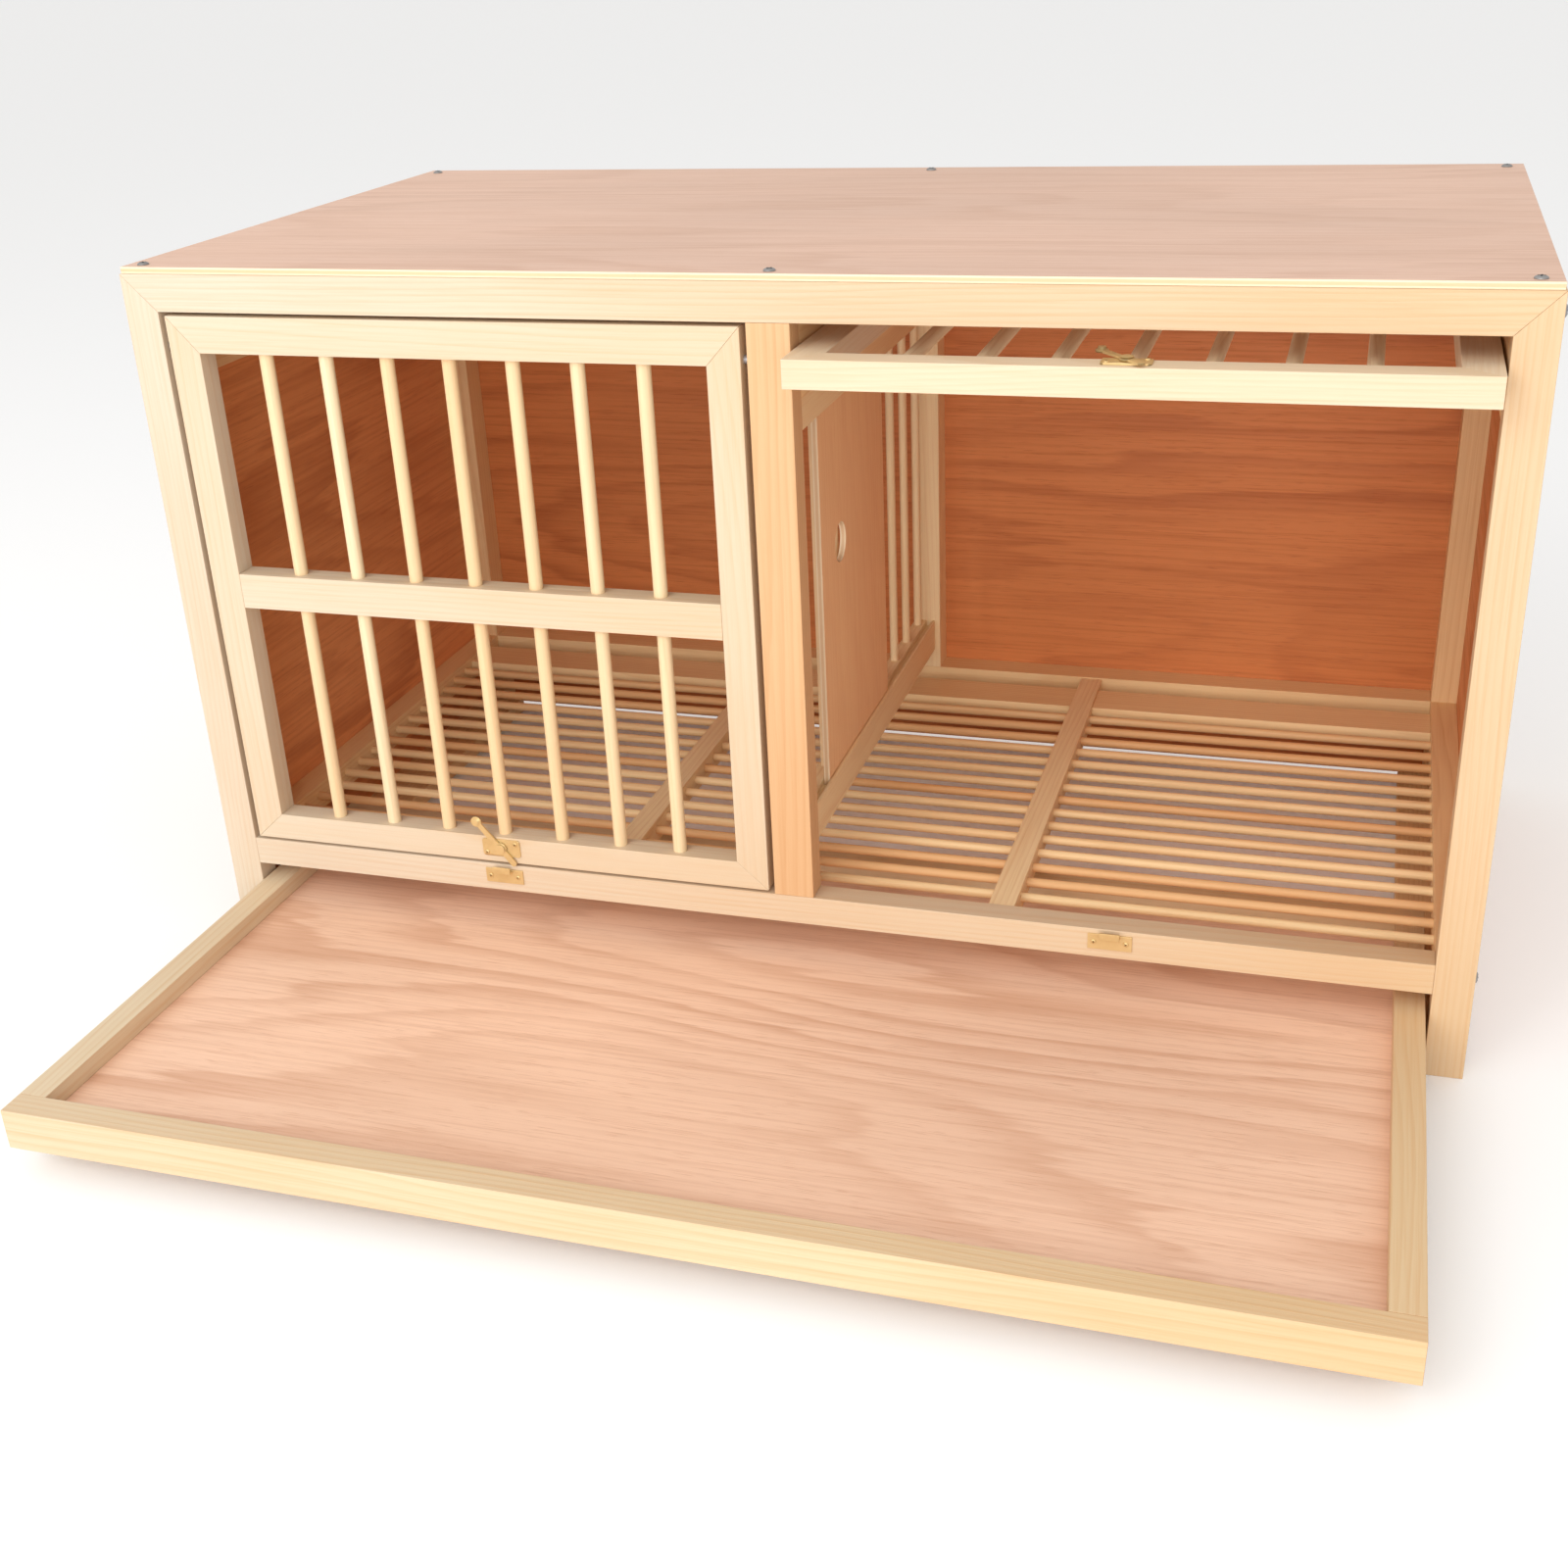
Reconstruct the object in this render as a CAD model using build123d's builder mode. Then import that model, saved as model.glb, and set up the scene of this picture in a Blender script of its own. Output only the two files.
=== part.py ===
from build123d import *
import os

os.makedirs("parts", exist_ok=True)

# The pigeon breeding cage is a wooden case on four legs with two rooms side by side.
# Each room has a barred door that swings up about two pins and slides back under the
# roof. A shallow tray slides in under the floor grate. X runs along the front from
# left to right, Y from front to back and Z up, in millimetres. The left door is shut,
# the right one is stowed under the roof, and the tray is pulled out.

# Case
case_width = 800.0
case_depth = 412.0
frame_height = 446.0
sheet = 4.0  # plywood of the roof, back, sides, tray floor and sliding panel
post_width = 22.0
front_lath = 17.0  # depth of the posts and rails of the front frame
rear_lath = 22.0  # depth of the rear posts and rails
top_rail_height = 22.0
bottom_rail_low = 54.0
bottom_rail_height = 19.0
sheet_foot = 4.0  # height of the lower edges of the side and back sheets
roof_inset = 1.0
middle_post_width = 25.0
middle_post_x = 2.0

# Doors and the guides that their pins run in
door_side_gap = 1.75  # each side of the door in the narrower opening
door_thickness = 16.0
door_head_gap = 2.2
door_foot_gap = 1.8
stile_width = 20.0
door_top_rail = 22.0
door_middle_rail = 22.5
door_bottom_rail = 18.0
door_middle_rise = 164.2  # from the door's lower edge to its middle rail
bar_diameter = 8.5
bar_pitch = 40.0
bar_seat = 8.0
pivot_drop = 19.3  # from the door's top edge down to the pins
pin_diameter = 5.0
pin_reach = 4.0  # how far a pin stands into its guide channel
pin_seat = 14.0  # length of the pin's bore in the stile
channel_depth = 4.8
guide_height = 20.7
right_door_proud = 25.0  # how far the stowed door sticks out of the front

# Divider between the rooms
divider_thickness = 16.0
divider_left_gap = 1.5  # from the middle post's left face back to the divider's
divider_bottom_low = 88.0
divider_bottom_height = 24.0
divider_top_height = 27.0
divider_stile_width = 20.0
divider_dowel_diameter = 6.0
divider_dowel_inset = 4.5  # from the divider's left face to the dowels' middle
divider_dowel_pitch = 38.0
divider_dowel_first = 33.5  # from the front of the case to the first dowel
divider_dowel_seat = 8.0
panel_inset = 2.4  # from the divider's right face to the sliding panel
panel_length = 154.5
panel_forward = 88.3  # from the front of the case to the panel's front edge
panel_groove = 4.4
panel_top_groove = 6.0
panel_top_entry = 4.8
finger_hole = 25.6
finger_hole_inset = 43.3  # from the panel's front edge to the hole's middle
finger_hole_drop = 97.9  # from the panel's top edge to the hole's middle

# Floor grate
grate_dowel_diameter = 6.0
grate_dowel_height = 65.0
grate_dowel_pitch = 20.0
grate_dowel_first = 6.0  # from the front rail's back face to the first dowel
grate_dowel_seat = 8.0
batten_size = 16.0
batten_spread = 256.0
batten_foot = 56.0
rear_board_depth = 35.0
rear_board_height = 10.0
rear_board_low = 60.0
rear_board_gap = 17.0  # from the rear frame to the boards' back edge

# Tray and its runners
tray_out = 278.0
tray_depth = 400.0
tray_side_gap = 2.5
tray_low = 18.0
tray_rail_width = 17.0
tray_rail_height = 25.0
tray_floor_rise = 9.0  # from the rails' underside to the floor sheet's
tray_groove = 5.0
runner_width = 36.0
runner_height = 12.0

# Screws of the case and of the brass fittings
screw_shank = 3.0
screw_head = 7.0
screw_head_height = 1.6
roof_screw_length = 12.0
side_screw_length = 30.0
roof_screw_inset = 12.0
small_shank = 1.8
small_head = 3.2
small_head_height = 0.8
small_length = 7.0

# Brass swivel catches and their keepers
catch_plate_width = 26.0
catch_plate_height = 12.0
brass_sheet = 1.0
catch_rise = 10.7  # from the door's lower edge to the catch's pivot
catch_screw_x = 10.0
catch_screw_y = 3.5
rivet_diameter = 4.0
rivet_head = 6.4
rivet_head_height = 0.8
catch_metal = 1.2
catch_hub = 8.0
catch_arm = 23.5  # from the pivot to the middle of the thumb tab
catch_arm_width = 3.6
thumb_tab = 7.0
thumb_knob = 4.4
thumb_knob_height = 1.6
catch_nose = 12.7  # from the pivot to the middle of the round tip
catch_nose_width = 4.0
catch_open_angle = 40.0
keeper_width = 26.0
keeper_height = 10.0
keeper_low = 60.0
keeper_lip_width = 12.0
keeper_reach = 5.2
keeper_shelf_drop = 0.5  # from the plate's top edge to the top of the shelf
keeper_screw_x = 9.5

# Clearances
groove_gap = 0.3  # each side of a piece that slides in a groove
seat_gap = 0.1  # round a dowel, bar or screw in its bore
running_gap = 0.05  # round a pin or rivet that something turns on
catch_gap = 0.3  # between the layers of a catch
tray_gap = 0.5  # between the tray and its runners

# Places that follow from the sizes
half_width = case_width / 2
inner_x = half_width - post_width
front_y = -(case_depth - tray_out) / 2
back_y = front_y + case_depth
frame_back_y = back_y - sheet
room_front_y = front_y + front_lath
room_back_y = frame_back_y - rear_lath
room_depth = room_back_y - room_front_y
top_rail_low = frame_height - top_rail_height
bottom_rail_top = bottom_rail_low + bottom_rail_height
side_rail_width = post_width - sheet
side_rail_x = half_width - sheet - side_rail_width / 2

post_left = middle_post_x - middle_post_width / 2
post_right = middle_post_x + middle_post_width / 2
door_low = bottom_rail_top + door_foot_gap
door_top = top_rail_low - door_head_gap
door_height = door_top - door_low
pivot_z = door_top - pivot_drop
pivot_closed_y = front_y + door_thickness / 2
pivot_stowed_y = front_y - right_door_proud + door_height - pivot_drop
channel_height = pin_diameter + 2 * groove_gap
guide_top = pivot_z - channel_height / 2
guide_low = guide_top - guide_height
upper_low = pivot_z + channel_height / 2
left_door_x = (post_left - inner_x) / 2
right_door_x = (post_right + inner_x) / 2
door_width = min(post_left, -post_right) + inner_x - 2 * door_side_gap

divider_left = post_left - divider_left_gap
divider_x = divider_left + divider_thickness / 2
divider_dowel_x = divider_left + divider_dowel_inset
divider_bottom_top = divider_bottom_low + divider_bottom_height
divider_top_low = guide_low - divider_top_height
panel_x = divider_left + divider_thickness - panel_inset - sheet / 2
panel_low = divider_bottom_top - panel_groove + groove_gap
panel_top = divider_top_low + panel_top_entry
panel_front_y = front_y + panel_forward

tray_front_y = front_y - tray_out
tray_width = 2 * (inner_x - tray_side_gap)
tray_side_x = (tray_width - tray_rail_width) / 2
tray_floor_low = tray_low + tray_floor_rise
runner_x = half_width - sheet - runner_width / 2

front_screw_y = front_y + front_lath / 2
rear_screw_y = room_back_y + rear_lath / 2
upper_screw_z = top_rail_low + top_rail_height / 2
lower_screw_z = bottom_rail_low + bottom_rail_height / 2
roof_screw_x = half_width - roof_screw_inset
screw_bore = screw_shank / 2 + seat_gap
small_bore = small_shank / 2 + seat_gap
roof_bore_depth = roof_screw_length - sheet + seat_gap
side_bore_depth = side_screw_length + seat_gap

LOW = (Align.CENTER, Align.MIN, Align.MIN)
MIDDLE = (Align.CENTER, Align.MIN, Align.CENTER)
SIDES = (("left", -1), ("right", 1))
front_plane = Plane(origin=(0, front_y, 0), x_dir=(1, 0, 0), z_dir=(0, -1, 0))


def save(piece, name):
    """Label a finished piece and write it under its own name."""
    piece.part.label = name
    export_step(piece.part, f"parts/{name}.step")


def bore_side(y, z):
    """The pair of bores that the screws through the posts' outer faces sit in."""
    for end in (-half_width, half_width):
        with Locations(Location((end, y, z), (0, 90, 0))):
            Cylinder(screw_bore, 2 * side_bore_depth, mode=Mode.SUBTRACT)


def bore_top(*places):
    """Upright bores for the roof screws, sunk from the top of the frame."""
    with Locations(*[(x, y, frame_height) for x, y in places]):
        Cylinder(screw_bore, 2 * roof_bore_depth, mode=Mode.SUBTRACT)


# Front posts, mitred to the top rail. A short channel in each inner face, open to the
# back, is where the door's pins hang when the door is shut.
for side, sign in SIDES:
    with BuildPart() as front_post:
        with BuildSketch(front_plane):
            with BuildLine():
                Polyline(
                    (sign * half_width, 0),
                    (sign * half_width, frame_height),
                    (sign * inner_x, top_rail_low),
                    (sign * inner_x, 0),
                    close=True,
                )
            make_face()
        extrude(amount=-front_lath)
        with Locations((sign * inner_x, pivot_closed_y - channel_height / 2, pivot_z)):
            Box(
                2 * channel_depth,
                front_lath,
                channel_height,
                align=MIDDLE,
                mode=Mode.SUBTRACT,
            )
        bore_side(front_screw_y, upper_screw_z)
        bore_side(front_screw_y, lower_screw_z)
    save(front_post, f"front_{side}_post")

# Rear posts, square in section
for side, sign in SIDES:
    with BuildPart() as rear_post:
        with Locations((sign * (inner_x + post_width / 2), room_back_y, 0)):
            Box(post_width, rear_lath, frame_height, align=LOW)
        bore_side(rear_screw_y, upper_screw_z)
        bore_side(rear_screw_y, lower_screw_z)
        bore_top((-roof_screw_x, rear_screw_y), (roof_screw_x, rear_screw_y))
    save(rear_post, f"rear_{side}_post")

# Middle post, standing on the bottom rail between the doors, with a channel each side
with BuildPart() as front_middle_post:
    with Locations((middle_post_x, front_y, bottom_rail_top)):
        Box(middle_post_width, front_lath, top_rail_low - bottom_rail_top, align=LOW)
    with Locations(
        (post_left, pivot_closed_y - channel_height / 2, pivot_z),
        (post_right, pivot_closed_y - channel_height / 2, pivot_z),
    ):
        Box(
            2 * channel_depth,
            front_lath,
            channel_height,
            align=MIDDLE,
            mode=Mode.SUBTRACT,
        )
save(front_middle_post, "front_middle_post")

# Top rail of the front frame, mitred at both ends
with BuildPart() as top_front_rail:
    with BuildSketch(front_plane):
        with BuildLine():
            Polyline(
                (-half_width, frame_height),
                (half_width, frame_height),
                (inner_x, top_rail_low),
                (-inner_x, top_rail_low),
                close=True,
            )
        make_face()
    extrude(amount=-front_lath)
    bore_side(front_screw_y, upper_screw_z)
    bore_top(
        (-roof_screw_x, front_screw_y),
        (middle_post_x, front_screw_y),
        (roof_screw_x, front_screw_y),
    )
save(top_front_rail, "top_front_rail")

# Bottom rail of the front frame, with pilot bores for the two keepers' screws
with BuildPart() as bottom_front_rail:
    with Locations((0, front_y, bottom_rail_low)):
        Box(2 * inner_x, front_lath, bottom_rail_height, align=LOW)
    bore_side(front_screw_y, lower_screw_z)
    for door_x in (left_door_x, right_door_x):
        for sign in (-1, 1):
            place = (door_x + sign * keeper_screw_x, front_y, keeper_low + keeper_height / 2)
            with Locations(Location(place, (90, 0, 0))):
                Cylinder(small_bore, 2 * (small_length + seat_gap), mode=Mode.SUBTRACT)
save(bottom_front_rail, "bottom_front_rail")

# Rear rails between the rear posts
with BuildPart() as top_rear_rail:
    with Locations((0, room_back_y, top_rail_low)):
        Box(2 * inner_x, rear_lath, top_rail_height, align=LOW)
    bore_side(rear_screw_y, upper_screw_z)
    bore_top((middle_post_x, rear_screw_y))
save(top_rear_rail, "top_rear_rail")

with BuildPart() as bottom_rear_rail:
    with Locations((0, room_back_y, bottom_rail_low)):
        Box(2 * inner_x, rear_lath, bottom_rail_height, align=LOW)
    bore_side(rear_screw_y, lower_screw_z)
save(bottom_rear_rail, "bottom_rear_rail")

# Side rails. The top ones reach down to the channel and close it from above, and the
# bottom ones hold the ends of the grate's dowels in blind bores. The dowels run from
# the front rail back to the boards.
board_y = room_back_y - rear_board_gap - rear_board_depth
grate_dowel_room = board_y - grate_dowel_diameter / 2 - room_front_y - grate_dowel_first
grate_dowel_count = int(grate_dowel_room // grate_dowel_pitch) + 1
grate_dowel_places = [
    room_front_y + grate_dowel_first + n * grate_dowel_pitch for n in range(grate_dowel_count)
]
for side, sign in SIDES:
    with BuildPart() as top_side_rail:
        with Locations((sign * side_rail_x, room_front_y, upper_low)):
            Box(side_rail_width, room_depth, frame_height - upper_low, align=LOW)
    save(top_side_rail, f"top_{side}_rail")

    with BuildPart() as bottom_side_rail:
        with Locations((sign * side_rail_x, room_front_y, bottom_rail_low)):
            Box(side_rail_width, room_depth, bottom_rail_height, align=LOW)
        for y in grate_dowel_places:
            with Locations(Location((sign * inner_x, y, grate_dowel_height), (0, 90, 0))):
                Cylinder(
                    grate_dowel_diameter / 2 + seat_gap,
                    2 * (grate_dowel_seat + seat_gap),
                    mode=Mode.SUBTRACT,
                )
    save(bottom_side_rail, f"bottom_{side}_rail")

    with BuildPart() as lower_guide:
        with Locations((sign * side_rail_x, room_front_y, guide_low)):
            Box(side_rail_width, room_depth, guide_height, align=LOW)
    save(lower_guide, f"{side}_lower_guide")

# The middle guides: two laths with the channel between them, for the pins of both doors
with BuildPart() as divider_lower_guide:
    with Locations((middle_post_x, room_front_y, guide_low)):
        Box(middle_post_width, room_depth, guide_height, align=LOW)
save(divider_lower_guide, "divider_lower_guide")

with BuildPart() as divider_upper_guide:
    with Locations((middle_post_x, room_front_y, upper_low)):
        Box(middle_post_width, room_depth, frame_height - upper_low, align=LOW)
save(divider_upper_guide, "divider_upper_guide")

# Divider: two grooved rails, a rear stile and a row of dowels
divider_dowel_room = room_back_y - divider_dowel_diameter / 2 - front_y - divider_dowel_first
divider_dowel_count = int(divider_dowel_room // divider_dowel_pitch) + 1
divider_dowel_places = [
    (divider_dowel_x, front_y + divider_dowel_first + n * divider_dowel_pitch)
    for n in range(divider_dowel_count)
]
divider_dowel_bore = divider_dowel_diameter / 2 + seat_gap
groove_width = sheet + 2 * groove_gap

with BuildPart() as divider_bottom_rail:
    with Locations((divider_x, room_front_y, divider_bottom_low)):
        Box(divider_thickness, room_depth, divider_bottom_height, align=LOW)
    with Locations((panel_x, room_front_y, divider_bottom_top)):
        Box(groove_width, room_depth, 2 * panel_groove, align=MIDDLE, mode=Mode.SUBTRACT)
    with Locations(*[(x, y, divider_bottom_top) for x, y in divider_dowel_places]):
        Cylinder(divider_dowel_bore, 2 * (divider_dowel_seat + seat_gap), mode=Mode.SUBTRACT)
save(divider_bottom_rail, "divider_bottom_rail")

with BuildPart() as divider_top_rail:
    with Locations((divider_x, room_front_y, divider_top_low)):
        Box(divider_thickness, room_depth, divider_top_height, align=LOW)
    with Locations((panel_x, room_front_y, divider_top_low)):
        Box(groove_width, room_depth, 2 * panel_top_groove, align=MIDDLE, mode=Mode.SUBTRACT)
    with Locations(*[(x, y, divider_top_low) for x, y in divider_dowel_places]):
        Cylinder(divider_dowel_bore, 2 * (divider_dowel_seat + seat_gap), mode=Mode.SUBTRACT)
save(divider_top_rail, "divider_top_rail")

with BuildPart() as divider_rear_stile:
    with Locations((divider_left + divider_stile_width / 2, room_back_y, bottom_rail_top)):
        Box(divider_stile_width, rear_lath, top_rail_low - bottom_rail_top, align=LOW)
save(divider_rear_stile, "divider_rear_stile")

divider_dowel_low = divider_bottom_top - divider_dowel_seat
divider_dowel_length = divider_top_low + divider_dowel_seat - divider_dowel_low
with BuildPart() as divider_dowels:
    with Locations(*[(x, y, divider_dowel_low) for x, y in divider_dowel_places]):
        Cylinder(
            divider_dowel_diameter / 2,
            divider_dowel_length,
            align=(Align.CENTER, Align.CENTER, Align.MIN),
        )
save(divider_dowels, "divider_dowels")

# Sliding panel with its finger hole, which covers part of the dowels
with BuildPart() as divider_sliding_panel:
    with Locations((panel_x, panel_front_y, panel_low)):
        Box(sheet, panel_length, panel_top - panel_low, align=LOW)
    hole_place = (panel_x, panel_front_y + finger_hole_inset, panel_top - finger_hole_drop)
    with Locations(Location(hole_place, (0, 90, 0))):
        Cylinder(finger_hole / 2, 2 * sheet, mode=Mode.SUBTRACT)
save(divider_sliding_panel, "divider_sliding_panel")

# Plywood sheets of the back, the sides and the roof
with BuildPart() as back_panel:
    with Locations((0, frame_back_y, sheet_foot)):
        Box(case_width, sheet, frame_height - sheet_foot, align=LOW)
save(back_panel, "back_panel")

for side, sign in SIDES:
    with BuildPart() as side_panel:
        with Locations((sign * (half_width - sheet / 2), room_front_y, sheet_foot)):
            Box(sheet, room_depth, frame_height - sheet_foot, align=LOW)
    save(side_panel, f"{side}_side_panel")

roof_screw_places = [
    (x, y) for x in (-roof_screw_x, middle_post_x, roof_screw_x) for y in (front_screw_y, rear_screw_y)
]
with BuildPart() as roof_panel:
    with Locations((0, front_y + roof_inset, frame_height)):
        Box(case_width - 2 * roof_inset, case_depth - 2 * roof_inset, sheet, align=LOW)
    with Locations(*[(x, y, frame_height) for x, y in roof_screw_places]):
        Cylinder(screw_bore, 4 * sheet, mode=Mode.SUBTRACT)
save(roof_panel, "roof_panel")

# Pan-head screws that hold the roof down and the posts to the rails
with BuildPart() as case_screws:
    with Locations(*[(x, y, frame_height + sheet) for x, y in roof_screw_places]):
        Cylinder(
            screw_shank / 2, roof_screw_length, align=(Align.CENTER, Align.CENTER, Align.MAX)
        )
        Cylinder(
            screw_head / 2, screw_head_height, align=(Align.CENTER, Align.CENTER, Align.MIN)
        )
    for sign in (-1, 1):
        for y in (front_screw_y, rear_screw_y):
            for z in (lower_screw_z, upper_screw_z):
                with Locations(Location((sign * half_width, y, z), (0, sign * 90, 0))):
                    Cylinder(
                        screw_shank / 2,
                        side_screw_length,
                        align=(Align.CENTER, Align.CENTER, Align.MAX),
                    )
                    Cylinder(
                        screw_head / 2,
                        screw_head_height,
                        align=(Align.CENTER, Align.CENTER, Align.MIN),
                    )
save(case_screws, "case_screws")

# Floor grate: two battens bored for the dowels, the dowels, and boards along the back
batten_centres = (-batten_spread / 2, batten_spread / 2)
with BuildPart() as grate_battens:
    with Locations(*[(x, room_front_y, batten_foot) for x in batten_centres]):
        Box(batten_size, room_depth, batten_size, align=LOW)
    for y in grate_dowel_places:
        with Locations(Location((0, y, grate_dowel_height), (0, 90, 0))):
            Cylinder(
                grate_dowel_diameter / 2 + seat_gap,
                batten_spread + 2 * batten_size,
                mode=Mode.SUBTRACT,
            )
save(grate_battens, "grate_battens")

with BuildPart() as grate_dowels:
    for y in grate_dowel_places:
        with Locations(Location((0, y, grate_dowel_height), (0, 90, 0))):
            Cylinder(grate_dowel_diameter / 2, 2 * (inner_x + grate_dowel_seat))
save(grate_dowels, "grate_dowels")

outer_board = inner_x - (batten_spread + batten_size) / 2
middle_board = batten_spread - batten_size
with BuildPart() as grate_rear_boards:
    with Locations((0, board_y, rear_board_low)):
        Box(middle_board, rear_board_depth, rear_board_height, align=LOW)
    for sign in (-1, 1):
        with Locations((sign * (inner_x - outer_board / 2), board_y, rear_board_low)):
            Box(outer_board, rear_board_depth, rear_board_height, align=LOW)
save(grate_rear_boards, "grate_rear_boards")

# Runners under the tray's ends, one piece of lath each
with BuildPart() as tray_runners:
    for sign in (-1, 1):
        with Locations((sign * runner_x, room_front_y, tray_low - tray_gap - runner_height)):
            Box(runner_width, room_depth, runner_height, align=LOW)
save(tray_runners, "tray_runners")

# Tray: four grooved rails round a plywood floor
tray_back_y = tray_front_y + tray_depth
tray_floor_depth = tray_depth - 2 * (tray_rail_width - tray_groove)
tray_floor_width = tray_width - 2 * (tray_rail_width - tray_groove)
tray_slot = sheet + 2 * seat_gap

with BuildPart() as tray_floor:
    with Locations((0, tray_front_y + tray_rail_width - tray_groove, tray_floor_low)):
        Box(tray_floor_width, tray_floor_depth, sheet, align=LOW)
save(tray_floor, "tray_floor")

for end, low_y in (("front", tray_front_y), ("rear", tray_back_y - tray_rail_width)):
    with BuildPart() as tray_long_rail:
        with Locations((0, low_y, tray_low)):
            Box(tray_width, tray_rail_width, tray_rail_height, align=LOW)
        with Locations((0, tray_front_y + tray_depth / 2, tray_floor_low + sheet / 2)):
            Box(
                tray_floor_width + 2 * seat_gap,
                tray_floor_depth + 2 * seat_gap,
                tray_slot,
                mode=Mode.SUBTRACT,
            )
    save(tray_long_rail, f"tray_{end}_rail")

for side, sign in SIDES:
    with BuildPart() as tray_side_rail:
        with Locations((sign * tray_side_x, tray_front_y + tray_rail_width, tray_low)):
            Box(
                tray_rail_width,
                tray_depth - 2 * tray_rail_width,
                tray_rail_height,
                align=LOW,
            )
        with Locations((0, tray_front_y + tray_depth / 2, tray_floor_low + sheet / 2)):
            Box(
                tray_floor_width + 2 * seat_gap,
                tray_floor_depth + 2 * seat_gap,
                tray_slot,
                mode=Mode.SUBTRACT,
            )
    save(tray_side_rail, f"tray_{side}_rail")

# Doors. Each is laid out on its own plane, with x along the door, y up from the pins
# and z out of its outer face. The left one hangs shut and the right one lies stowed.
left_door_plane = Plane(
    origin=(left_door_x, pivot_closed_y, pivot_z), x_dir=(1, 0, 0), z_dir=(0, -1, 0)
)
right_door_plane = Plane(
    origin=(right_door_x, pivot_stowed_y, pivot_z), x_dir=(1, 0, 0), z_dir=(0, 0, 1)
)
DOORS = (
    ("left", left_door_plane, post_left - left_door_x),
    ("right", right_door_plane, inner_x - right_door_x),
)
door_foot = pivot_drop - door_height
door_half = door_width / 2
door_face = door_thickness / 2
rail_half = door_half - stile_width
bar_count = int(2 * rail_half // bar_pitch) - 1
bar_low = door_foot + door_bottom_rail - bar_seat
bar_top = pivot_drop - door_top_rail + bar_seat
bar_bore = bar_diameter / 2 + seat_gap
catch_y = door_foot + catch_rise
rivet_low = door_face + brass_sheet
rivet_top = rivet_low + 2 * catch_gap + catch_metal
middle_rail_low = door_foot + door_middle_rise
DOOR_RAILS = (
    ("top_rail", (door_half, pivot_drop), (rail_half, pivot_drop - door_top_rail)),
    ("middle_rail", (rail_half, middle_rail_low + door_middle_rail), (rail_half, middle_rail_low)),
    ("bottom_rail", (rail_half, door_foot + door_bottom_rail), (door_half, door_foot)),
)
CATCH_SCREWS = ((-catch_screw_x, catch_y - catch_screw_y), (catch_screw_x, catch_y + catch_screw_y))

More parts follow.
